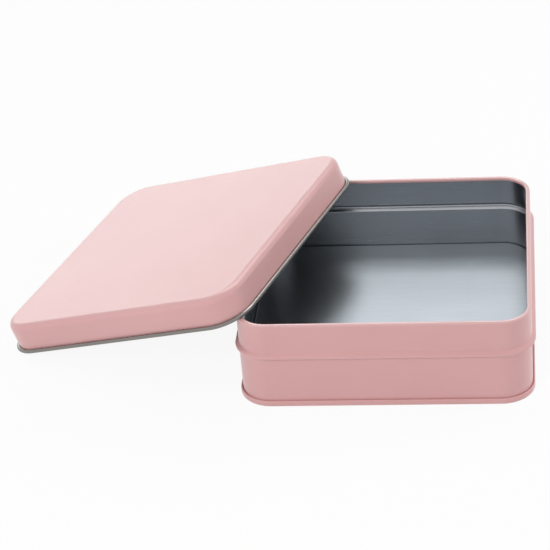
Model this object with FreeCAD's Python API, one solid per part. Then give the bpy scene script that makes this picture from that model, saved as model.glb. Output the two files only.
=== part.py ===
"""A square slip-lid tin of folded tinplate, standing open with its lid leaning on the rim.

Three pieces, each one sheet: the side wall with its rolled rim and outward bead, the bottom
that is locked to the wall by a double seam, and the drawn lid with its edge rolled outward.
Each sheet's section is drawn as straight runs and bends of its middle line, then carried
round the rounded square plan. Millimetres, +Z up. The origin is the middle of the whole
thing's footprint, on the surface it stands on, and the tin's walls lie along X and Y.
"""
import FreeCAD, Part
import math
import os

from FreeCAD import Placement, Rotation, Vector

# Sheet
SHEET = 0.28               # thickness of the tinplate
SEAM_GAP = 0.1             # room between two layers of the double seam

# Tin
TIN_WIDTH = 150.0          # along X, over the outer face of the wall
TIN_DEPTH = 150.0          # along Y
TIN_HEIGHT = 49.0          # from the standing seam to the top of the rim
TIN_CORNER = 16.0          # plan radius of the wall's outer face
RIM_DIAMETER = 2.4         # inward curl at the top of the wall
BEAD_WIDTH = 4.7           # height of the strip that bulges outward as the lid's stop
BEAD_PROUD = 1.9           # how far the bulge stands out from the wall
BEAD_ROUNDNESS = 1.3       # 1 for flat flanks that meet at a point, 2 for two arcs and nothing flat
BEAD_NOSE = 0.6            # share of the bead's rounding that goes to its nose; its roots have the rest
SEAM_HEIGHT = 3.4          # outer height of the double seam
PANEL_HEIGHT = 6.2         # top of the bottom panel above the table
PANEL_BEND = 1.0           # radius where the panel turns down into the seam

# Lid
LID_HEIGHT = 16.6          # from the foot of its curl to its top
LID_CLEARANCE = 0.6        # between the wall's neck and the inside of the skirt, each side
LID_SEAT_GAP = 0.3         # between the lid's curl and the bead when the lid is on
LID_EDGE = 3.5             # outer radius between the lid's top and its skirt
LID_CURL = 2.2             # diameter of the outward curl at the foot of the skirt

CURL_TURN = 300.0          # degrees that each rolled edge turns through
PLATE_INSET = 6.0          # width of the margin bent with each edge, round the flat plate

# Where the lid leans: its middle seen from above, measured from the tin's middle
LID_SHIFT_X = -113.7
LID_SHIFT_Y = 21.7
LID_TURN = -20.8           # degrees about the vertical
STEEP_LEAN = 35.0          # degrees of tilt from which the lid is lowered onto the rim
REST_GAP = 0.05            # air left where the lid touches the table and the rim

UP = Vector(0, 0, 1)
LAYER = SHEET + SEAM_GAP   # pitch of the layers in the seam
MIDDLE = -SHEET / 2        # middle line of a wall whose outer face is at zero
RIM_BEND = (RIM_DIAMETER - SHEET) / 2
LID_BEND = (LID_CURL - SHEET) / 2

LID_MARGIN = LID_CLEARANCE + SHEET
LID_WIDTH = TIN_WIDTH + 2 * LID_MARGIN
LID_DEPTH = TIN_DEPTH + 2 * LID_MARGIN
LID_CORNER = TIN_CORNER + LID_MARGIN
# The closed lid's top lies on the rim, and its foot stops just above the bead
BEAD_TOP = TIN_HEIGHT + SHEET - LID_HEIGHT - LID_SEAT_GAP


def joined(pieces):
    """One solid from pieces that meet face to face, with no seams left between them."""
    return pieces[0].fuse(pieces[1:]).removeSplitter().Solids[0]


class Strip:
    """The section of one sheet: u is outward, z is up, and bends to the left are positive."""

    def __init__(self, u, z, heading):
        self.u, self.z, self.heading = u, z, math.radians(heading)
        self.left, self.right = [], []

    def beside(self, offset):
        """The point that lies offset to the left of the middle line."""
        return Vector(self.u - offset * math.sin(self.heading), 0,
                      self.z + offset * math.cos(self.heading))

    def sides(self):
        return self.beside(SHEET / 2), self.beside(-SHEET / 2)

    def run(self, length):
        starts = self.sides()
        self.u += length * math.cos(self.heading)
        self.z += length * math.sin(self.heading)
        for side, start, end in zip((self.left, self.right), starts, self.sides()):
            side.append(Part.makeLine(start, end))
        return self

    def bend(self, radius, angle):
        starts = self.sides()
        self._turn(radius, angle / 2)
        middles = self.sides()
        self._turn(radius, angle / 2)
        for side, start, middle, end in zip((self.left, self.right), starts, middles, self.sides()):
            side.append(Part.Arc(start, middle, end).toShape())
        return self

    def _turn(self, radius, angle):
        centre = self.beside(math.copysign(radius, angle))
        self.heading += math.radians(angle)
        outward = self.beside(-math.copysign(radius, angle)) - Vector(self.u, 0, self.z)
        self.u, self.z = centre.x + outward.x, centre.z + outward.z

    def face(self):
        edges = self.left + self.right
        starts = [side[0].firstVertex(True).Point for side in (self.left, self.right)]
        ends = [side[-1].lastVertex(True).Point for side in (self.left, self.right)]
        caps = [Part.makeLine(*starts), Part.makeLine(*ends)]
        return Part.Face(Part.Wire(Part.__sortEdges__(edges + caps)))


class Plan:
    """A rounded rectangle about the Z axis, its sides along X and Y."""

    def __init__(self, width, depth, corner):
        self.half_x, self.half_y, self.corner = width / 2, depth / 2, corner

    def grown(self, offset):
        return Plan(2 * (self.half_x + offset), 2 * (self.half_y + offset), self.corner + offset)

    def quarters(self):
        """Each corner's centre with the side that follows it: (angle, centre, side's length)."""
        x, y = self.half_x - self.corner, self.half_y - self.corner
        return [(0, Vector(x, y, 0), 2 * x), (90, Vector(-x, y, 0), 2 * y),
                (180, Vector(-x, -y, 0), 2 * x), (270, Vector(x, -y, 0), 2 * y)]

    def outline(self, z):
        """The closed line of four arcs and four sides at height z."""
        edges = []
        for angle, centre, side in self.quarters():
            points = [centre + Vector(self.corner * math.cos(math.radians(a)),
                                      self.corner * math.sin(math.radians(a)), z)
                      for a in (angle, angle + 45, angle + 90)]
            onward = Rotation(UP, angle).multVec(Vector(-side, 0, 0))
            edges += [Part.Arc(*points).toShape(), Part.makeLine(points[-1], points[-1] + onward)]
        return Part.Wire(edges)

    def carry(self, section):
        """Carries a section, drawn with u = 0 on this plan's line, round the whole plan."""
        at_corner = section.translated(Vector(self.corner, 0, 0))
        bend = at_corner.revolve(Vector(), UP, 90)
        pieces = []
        for angle, centre, side in self.quarters():
            straight = at_corner.rotated(Vector(), UP, 90).extrude(Vector(-side, 0, 0))
            pieces += [piece.rotated(Vector(), UP, angle).translated(centre) for piece in (bend, straight)]
        return joined(pieces)

    def plate(self, top):
        """A flat sheet of this outline with its upper face at the height top."""
        return Part.Face(self.outline(top - SHEET)).extrude(Vector(0, 0, SHEET))


TIN_PLAN = Plan(TIN_WIDTH, TIN_DEPTH, TIN_CORNER)
LID_PLAN = Plan(LID_WIDTH, LID_DEPTH, LID_CORNER)

# The double seam: five layers, from the bottom's chuck wall inside to its cover outside.
# The wall's hook and the bottom's hook turn about the same two lines.
SEAM_LOW = 2 * LAYER + SHEET / 2
SEAM_TOP = SEAM_HEIGHT - SHEET / 2 - LAYER


def tin_wall():
    """The side: hooked out at the foot, beaded round the middle, curled in at the rim."""
    straight = math.atan2(BEAD_PROUD, BEAD_WIDTH / 2)
    lean = BEAD_ROUNDNESS * straight
    both = math.hypot(BEAD_PROUD, BEAD_WIDTH / 2) * math.sin(lean - straight) / (1 - math.cos(lean))
    flank = (BEAD_PROUD - both * (1 - math.cos(lean))) / math.sin(lean)
    crest, root, turn = BEAD_NOSE * both, (1 - BEAD_NOSE) * both, math.degrees(lean)
    hook = SEAM_TOP - SEAM_GAP - SEAM_LOW
    section = Strip(MIDDLE + 2 * LAYER, SEAM_LOW + hook, -90).run(hook).bend(LAYER, -180)
    section.run(BEAD_TOP - BEAD_WIDTH - SEAM_LOW)
    section.bend(root, -turn).run(flank).bend(crest, 2 * turn).run(flank).bend(root, -turn)
    section.run(TIN_HEIGHT - RIM_DIAMETER / 2 - BEAD_TOP).bend(RIM_BEND, CURL_TURN)
    return TIN_PLAN.carry(section.face())


def tin_bottom():
    """The raised panel, its chuck wall inside the side wall, and the hook round the wall's."""
    chuck = MIDDLE - LAYER
    level = PANEL_HEIGHT - SHEET / 2
    section = Strip(-PLATE_INSET, level, 0).run(PLATE_INSET + chuck - PANEL_BEND)
    section.bend(PANEL_BEND, -90).run(level - PANEL_BEND - SEAM_LOW).bend(2 * LAYER, 180)
    section.run(SEAM_TOP - SEAM_LOW).bend(LAYER, 180).run(SEAM_TOP - SEAM_LOW - SEAM_GAP)
    edge = TIN_PLAN.carry(section.face())
    return joined([edge, TIN_PLAN.grown(-PLATE_INSET).plate(PANEL_HEIGHT)])


def lid():
    """The drawn lid, as it lies when closed: flat top, rounded edge, skirt, outward curl."""
    level = LID_HEIGHT - SHEET / 2
    edge_bend = LID_EDGE - SHEET / 2
    section = Strip(-PLATE_INSET, level, 0).run(PLATE_INSET - LID_EDGE).bend(edge_bend, -90)
    section.run(level - edge_bend - LID_CURL / 2).bend(LID_BEND, CURL_TURN)
    edge = LID_PLAN.carry(section.face())
    return joined([edge, LID_PLAN.grown(-PLATE_INSET).plate(LID_HEIGHT)])


# The middle lines of the two rolled edges, where the lid and the rim meet
RIM_LINE = TIN_PLAN.grown(MIDDLE - RIM_BEND).outline(TIN_HEIGHT - RIM_DIAMETER / 2)
LID_CURL_LINE = LID_PLAN.grown(MIDDLE + LID_BEND).outline(LID_CURL / 2)


def leaning(tilt, roll):
    """The lid's placement with its low edge on the table and its right side raised by tilt."""
    turn = (Rotation(UP, LID_TURN) * Rotation(Vector(0, 1, 0), -tilt)
            * Rotation(Vector(1, 0, 0), roll))
    low = LID_CURL_LINE.transformed(Placement(Vector(), turn).toMatrix()).optimalBoundingBox(False).ZMin
    return Placement(Vector(LID_SHIFT_X, LID_SHIFT_Y, LID_CURL / 2 + REST_GAP - low), turn)


def rim_gaps(place):
    """Air between the lid's curl and the tin's rim, at the front half and at the back half."""
    curl = LID_CURL_LINE.transformed(place.toMatrix())
    front = [edge for edge in RIM_LINE.Edges if edge.CenterOfMass.y < -TIN_CORNER]
    back = [edge for edge in RIM_LINE.Edges if edge.CenterOfMass.y > TIN_CORNER]
    return [Part.Compound(half).distToShape(curl)[0] - (RIM_DIAMETER + LID_CURL) / 2
            for half in (front, back)]


def settled():
    """Lowers the lid from a steep lean until its curl rests on the rim at the front and the back."""
    tilt, roll = STEEP_LEAN, 0.0
    front = back = TIN_HEIGHT
    while max(abs(front), abs(back)) > REST_GAP / 10:
        front, back = [gap - REST_GAP for gap in rim_gaps(leaning(tilt, roll))]
        tilt -= math.degrees((front + back) / 2 / LID_WIDTH)
        roll += math.degrees((front - back) / 2 / TIN_DEPTH)
    return leaning(tilt, roll)


place = settled()
pieces = {"tin_wall": tin_wall(), "tin_bottom": tin_bottom(), "lid": lid().transformed(place.toMatrix())}
box = Part.Compound(list(pieces.values())).optimalBoundingBox(False)
origin = Vector((box.XMin + box.XMax) / 2, (box.YMin + box.YMax) / 2, box.ZMin)

os.makedirs("parts", exist_ok=True)
for name, shape in pieces.items():
    shape.translated(-origin).exportStep(f"parts/{name}.step")
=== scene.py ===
"""An open square tin in dusty pink enamel over bright tinplate, with its lid leaning on the rim."""
import math

import bpy
from mathutils import Matrix, Vector


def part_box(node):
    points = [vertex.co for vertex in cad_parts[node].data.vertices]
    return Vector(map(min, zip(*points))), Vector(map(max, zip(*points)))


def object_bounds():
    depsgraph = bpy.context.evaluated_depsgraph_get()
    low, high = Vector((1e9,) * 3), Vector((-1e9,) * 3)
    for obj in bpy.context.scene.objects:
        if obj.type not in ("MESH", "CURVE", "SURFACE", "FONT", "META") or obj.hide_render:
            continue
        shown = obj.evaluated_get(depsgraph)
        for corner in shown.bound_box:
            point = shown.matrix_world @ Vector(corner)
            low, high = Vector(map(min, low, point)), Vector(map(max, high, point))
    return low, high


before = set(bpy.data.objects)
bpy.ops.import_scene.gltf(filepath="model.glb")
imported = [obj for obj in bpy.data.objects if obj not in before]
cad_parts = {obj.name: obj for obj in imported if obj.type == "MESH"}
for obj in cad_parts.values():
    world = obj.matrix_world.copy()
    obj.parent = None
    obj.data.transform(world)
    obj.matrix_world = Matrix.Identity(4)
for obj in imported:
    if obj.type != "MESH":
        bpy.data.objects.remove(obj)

cad_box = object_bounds()

MM = 0.001

# Where one finish ends and the next begins
SEAM_TOP = 3.6 * MM          # the bottom's double seam reaches no higher than this
RIM_CURL = 2.6 * MM          # the depth below the rim in which the wall is curled over
LID_CURL = 2.6 * MM          # the same above the foot of the lid
FACES_DOWN = -0.01           # a normal's Z below which the bottom's sheet shows its outer side
SAME_FACING = 0.9999         # least dot product of two normals of one flat face
LID_TURN = math.radians(-20.8)   # how the lid is turned about the vertical

# Camera: where it stands from the middle of the tin's base, and how it is turned
CAMERA_PLACE = Vector((0.0765, -0.9924, 0.6412))
CAMERA_YAW = math.radians(-7.92)
CAMERA_PITCH = math.radians(31.26)
CAMERA_ROLL = math.radians(-5.17)
CAMERA_LENS = 143.0
SENSOR = 36.0

# Floor and light
FLOOR_REACH = 6.0            # from the middle to each edge of the floor
FLOOR_DROP = 0.02 * MM       # keeps the floor's plane clear of the seam that stands on it
FLOOR_WHITE = 0.92           # share of plain white in the floor that the camera sees; the rest is lit
LAMP_AIM = (0, 0, 0.03)
WORLD_FRONT, WORLD_BACK = 0.4, 0.7   # strength of the world's light before and behind the tin


# ---------------------------------------------------------------- node trees

class Shader:
    """A material's node tree, built from the Principled shader backwards."""

    def __init__(self, name, base_color, metallic, roughness):
        self.material = bpy.data.materials.new(name)
        self.material.use_nodes = True
        self.tree = self.material.node_tree
        self.bsdf = self.tree.nodes["Principled BSDF"]
        self.set("Base Color", (*base_color, 1.0))
        self.set("Metallic", metallic)
        self.set("Roughness", roughness)
        self.where = self.tree.nodes.new("ShaderNodeTexCoord").outputs["Object"]

    def set(self, socket, value):
        self.bsdf.inputs[socket].default_value = value

    def link(self, output, socket):
        self.tree.links.new(output, self.bsdf.inputs[socket])

    def node(self, kind, inputs=(), **settings):
        made = self.tree.nodes.new("ShaderNode" + kind)
        for name, value in settings.items():
            setattr(made, name, value)
        for name, value in dict(inputs).items():
            if isinstance(value, bpy.types.NodeSocket):
                self.tree.links.new(value, made.inputs[name])
            else:
                made.inputs[name].default_value = value
        return made

    def noise(self, scale, detail=2.0, stretch=(1, 1, 1), turn=0.0):
        """Noise in the frame's metres; stretch above 1 makes it finer along that axis."""
        mapped = self.node("Mapping", {"Vector": self.where, "Rotation": (0, 0, turn),
                                       "Scale": stretch})
        return self.node("TexNoise", {"Vector": mapped.outputs["Vector"], "Scale": scale,
                                      "Detail": detail}).outputs["Fac"]

    def ramp(self, value, low, high, start=0.3, end=0.7):
        """Maps a value between start and end onto low to high."""
        return self.node("MapRange", {"Value": value, "From Min": start, "From Max": end,
                                      "To Min": low, "To Max": high}).outputs["Result"]

    def blend(self, value, first, second):
        """A colour from first to second as the value goes from 0 to 1."""
        mixed = self.node("Mix", data_type="RGBA")
        self.tree.links.new(value, mixed.inputs["Factor"])
        ends = {s.name: s for s in mixed.inputs if s.type == "RGBA"}
        ends["A"].default_value = (*first, 1)
        ends["B"].default_value = (*second, 1)
        return [s for s in mixed.outputs if s.type == "RGBA"][0]

    def bump(self, height, depth, strength=1.0, under=None):
        inputs = {"Height": height, "Strength": strength, "Distance": depth}
        if under is not None:
            inputs["Normal"] = under
        return self.node("Bump", inputs).outputs["Normal"]


def srgb(*channels):
    """Linear colour from 0 to 255 display values."""
    return tuple(c / 255 / 12.92 if c <= 10 else ((c / 255 + 0.055) / 1.055) ** 2.4 for c in channels)


def enamel(name, coat, coat_roughness, coat_ior=1.5):
    """Satin dusty pink lacquer: faint cloudiness, and the fine orange peel of a rolled coat."""
    s = Shader(name, srgb(220, 171, 169), metallic=0.0, roughness=0.4)
    cloud = s.ramp(s.noise(22, 3), 0, 1)
    s.link(s.blend(cloud, srgb(217, 165, 164), srgb(220, 169, 168)), "Base Color")
    s.link(s.ramp(s.noise(160, 2), 0.38, 0.43), "Roughness")
    peel = s.bump(s.noise(1400, 2), 0.02 * MM, 0.3)
    s.link(s.bump(s.noise(14, 1), 0.1 * MM, 0.12, under=peel), "Normal")
    s.set("Coat Weight", coat)
    s.set("Coat Roughness", coat_roughness)
    s.set("Coat IOR", coat_ior)
    return s.material


def tinplate(name, turn, tone, rough, groove=0.006 * MM, smear=0.0):
    """Bare tinplate: rolling lines along one direction, soft bloom, and a faint buckle of the sheet.

    smear draws reflections out along the frame's Y, across the rolling lines.
    """
    s = Shader(name, tone, metallic=1.0, roughness=rough)
    fine = s.noise(60, 6, (1, 40, 40), turn)
    streaks = s.noise(30, 3, (1, 30, 30), turn)
    bloom = s.noise(30, 4)
    cloud = s.node("Math", {0: s.ramp(bloom, 0, 0.5), 1: s.ramp(streaks, 0, 0.5)}, operation="ADD")
    dull = tuple(0.9 * c for c in tone)
    s.link(s.blend(cloud.outputs[0], dull, tone), "Base Color")
    s.link(s.ramp(fine, 0.9 * rough, 1.25 * rough), "Roughness")
    if smear:
        s.set("Anisotropic", smear)
        s.link(s.node("CombineXYZ", {"Y": 1.0}).outputs["Vector"], "Tangent")
    lines = s.bump(fine, groove, 0.5)
    s.link(s.bump(s.noise(9, 1), 0.5 * MM, 0.2, under=lines), "Normal")
    return s.material


# ---------------------------------------------------------------- which side of each sheet is which

def dress(node, materials, choose):
    """Gives each polygon of a node the material whose number choose(middle, normal) returns."""
    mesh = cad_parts[node].data
    mesh.materials.clear()
    for material in materials:
        mesh.materials.append(material)
    for polygon in mesh.polygons:
        polygon.material_index = choose(polygon.center, polygon.normal)


def facing_out(at, normal, middle):
    """Whether a side of the wall looks away from the middle, seen from above."""
    return (at.x - middle.x) * normal.x + (at.y - middle.y) * normal.y > 0


def flat_top(node):
    """The middle and the upward normal of a node's largest flat face."""
    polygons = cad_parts[node].data.polygons
    up = max((p for p in polygons if p.normal.z > 0), key=lambda p: p.area).normal.copy()
    flat = [p for p in polygons if p.normal.dot(up) > SAME_FACING]
    area = sum(p.area for p in flat)
    return sum((p.center * p.area for p in flat), Vector()) / area, up


low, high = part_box("tin_wall")
tin_middle, rim = (low + high) / 2, high.z

# The lid by its own plate: heights along lid_up are negative below the plate
plate, lid_up = flat_top("lid")
lid_foot = min((v.co - plate).dot(lid_up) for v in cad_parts["lid"].data.vertices)
lid_inside = plate + lid_up * lid_foot / 2

pink = enamel("enamel", coat=0.6, coat_roughness=0.28)
pink_rim = enamel("enamel_over_the_curl", coat=1.0, coat_roughness=0.2, coat_ior=1.9)
panel = tinplate("tinplate_panel", turn=0.0, tone=srgb(164, 171, 176), rough=0.34,
                 groove=0.05 * MM, smear=0.8)
bare = tinplate("tinplate_wall", turn=0.0, tone=srgb(172, 175, 180), rough=0.22)
# The lid's rolled edge: bare tinplate painted a darker grey than the tin's wall, painted shade standing
# in for the dark surroundings it reflects.
curl_painted_dark = tinplate("tinplate_curl_painted_dark", turn=-LID_TURN, tone=srgb(140, 135, 132), rough=0.25)
# The inside of the lid: bare tinplate painted nearly black, painted shade for the shadow under the lid,
# which darkens its reflection in the tin's floor.
underside_painted_dark = tinplate("tinplate_lid_underside_painted_dark", turn=-LID_TURN, tone=srgb(72, 74, 77), rough=0.3)


def wall_side(at, normal):
    if at.z > rim - RIM_CURL:
        return 2
    return 0 if facing_out(at, normal, tin_middle) else 1


def bottom_side(at, normal):
    return 0 if at.z < SEAM_TOP or normal.z < FACES_DOWN else 1


def lid_side(at, normal):
    if (at - plate).dot(lid_up) < lid_foot + LID_CURL:
        return 1
    return 0 if (at - lid_inside).dot(normal) > 0 else 2


dress("tin_wall", (pink, bare, pink_rim), wall_side)
dress("tin_bottom", (pink, panel), bottom_side)
dress("lid", (pink, curl_painted_dark, underside_painted_dark), lid_side)


# ---------------------------------------------------------------- floor, lamps, camera

def seen_plainly(tree):
    """1 for what the camera sees straight, in metal or through glass, and 0 for the light on the tin."""
    path = tree.nodes.new("ShaderNodeLightPath")
    total = path.outputs["Is Camera Ray"]
    for ray in ("Is Glossy Ray", "Is Transmission Ray"):
        both = tree.nodes.new("ShaderNodeMath")
        both.operation = "MAXIMUM"
        tree.links.new(total, both.inputs[0])
        tree.links.new(path.outputs[ray], both.inputs[1])
        total = both.outputs[0]
    return total


def stage_floor():
    """A pale sweep that shows white behind the tin and keeps its soft shadow."""
    mesh = bpy.data.meshes.new("floor")
    ways = ((-1, -1), (1, -1), (1, 1), (-1, 1))
    mesh.from_pydata([(x * FLOOR_REACH, y * FLOOR_REACH, 0) for x, y in ways], [], [(0, 1, 2, 3)])
    floor = bpy.data.objects.new("floor", mesh)
    bpy.context.scene.collection.objects.link(floor)
    floor.location.z = cad_box[0].z - FLOOR_DROP
    s = Shader("floor", (0.92, 0.92, 0.92), metallic=0.0, roughness=0.9)
    white = s.node("Emission", {"Strength": 1.0})
    shown = s.node("Math", {0: seen_plainly(s.tree), 1: FLOOR_WHITE}, operation="MULTIPLY")
    mixed = s.node("MixShader", {"Fac": shown.outputs[0], 1: s.bsdf.outputs[0],
                                 2: white.outputs[0]})
    s.tree.links.new(mixed.outputs[0], s.tree.nodes["Material Output"].inputs["Surface"])
    mesh.materials.append(s.material)


def area_lamp(name, place, size, power, mirrored=True, lighting=True):
    """A lamp aimed at the tin; mirrored shows it in reflections, lighting lets it light surfaces."""
    lamp = bpy.data.lights.new(name, "AREA")
    lamp.shape, lamp.size, lamp.size_y = "RECTANGLE", size[0], size[1]
    lamp.energy = power
    holder = bpy.data.objects.new(name, lamp)
    bpy.context.scene.collection.objects.link(holder)
    holder.location = place
    holder.visible_glossy = mirrored
    holder.visible_diffuse = lighting
    aim = Vector(LAMP_AIM) - Vector(place)
    holder.rotation_euler = aim.to_track_quat("-Z", "Y").to_euler()


def stage_light():
    """A world that is brighter behind the tin, white where it is seen, and four lamps."""
    world = bpy.data.worlds.new("studio")
    world.use_nodes = True
    tree = world.node_tree
    way = tree.nodes.new("ShaderNodeTexCoord")
    split = tree.nodes.new("ShaderNodeSeparateXYZ")
    tree.links.new(way.outputs["Generated"], split.inputs["Vector"])
    behind = tree.nodes.new("ShaderNodeMapRange")
    for name, value in (("From Min", -0.6), ("From Max", 0.5),
                        ("To Min", WORLD_FRONT), ("To Max", WORLD_BACK)):
        behind.inputs[name].default_value = value
    tree.links.new(split.outputs["Y"], behind.inputs["Value"])
    seen = tree.nodes.new("ShaderNodeMix")
    tree.links.new(seen_plainly(tree), seen.inputs["Factor"])
    tree.links.new(behind.outputs["Result"], seen.inputs["A"])
    seen.inputs["B"].default_value = 1.0
    tree.links.new(seen.outputs["Result"], tree.nodes["Background"].inputs["Strength"])
    tree.nodes["Background"].inputs["Color"].default_value = (1, 1, 1, 1)
    bpy.context.scene.world = world
    area_lamp("low_back", (-0.55, 1.45, 0.26), size=(1.1, 0.3), power=2.3)
    area_lamp("high_back", (0.0, 0.62, 1.2), size=(1.3, 0.5), power=10.2, lighting=False)
    area_lamp("right", (1.3, 0.5, 0.45), size=(0.6, 0.6), power=6.2, mirrored=False)
    area_lamp("front", (-0.55, -1.15, 1.0), size=(0.8, 0.6), power=9.6, mirrored=False)


def stage_camera():
    """The photograph's view: turned left, pitched down, then rolled about the line of sight."""
    camera = bpy.data.cameras.new("camera")
    camera.lens, camera.sensor_width = CAMERA_LENS, SENSOR
    holder = bpy.data.objects.new("camera", camera)
    bpy.context.scene.collection.objects.link(holder)
    forward = Vector((math.sin(CAMERA_YAW) * math.cos(CAMERA_PITCH),
                      math.cos(CAMERA_YAW) * math.cos(CAMERA_PITCH), -math.sin(CAMERA_PITCH)))
    level = Vector((math.cos(CAMERA_YAW), -math.sin(CAMERA_YAW), 0))
    upright = level.cross(forward)
    right = level * math.cos(CAMERA_ROLL) + upright * math.sin(CAMERA_ROLL)
    up = upright * math.cos(CAMERA_ROLL) - level * math.sin(CAMERA_ROLL)
    base = Vector((tin_middle.x, tin_middle.y, 0))
    holder.matrix_world = (Matrix.Translation(base + CAMERA_PLACE)
                           @ Matrix((right, up, -forward)).transposed().to_4x4())
    bpy.context.scene.camera = holder


stage_floor()
stage_light()
stage_camera()
bpy.context.scene.view_settings.view_transform = "Standard"
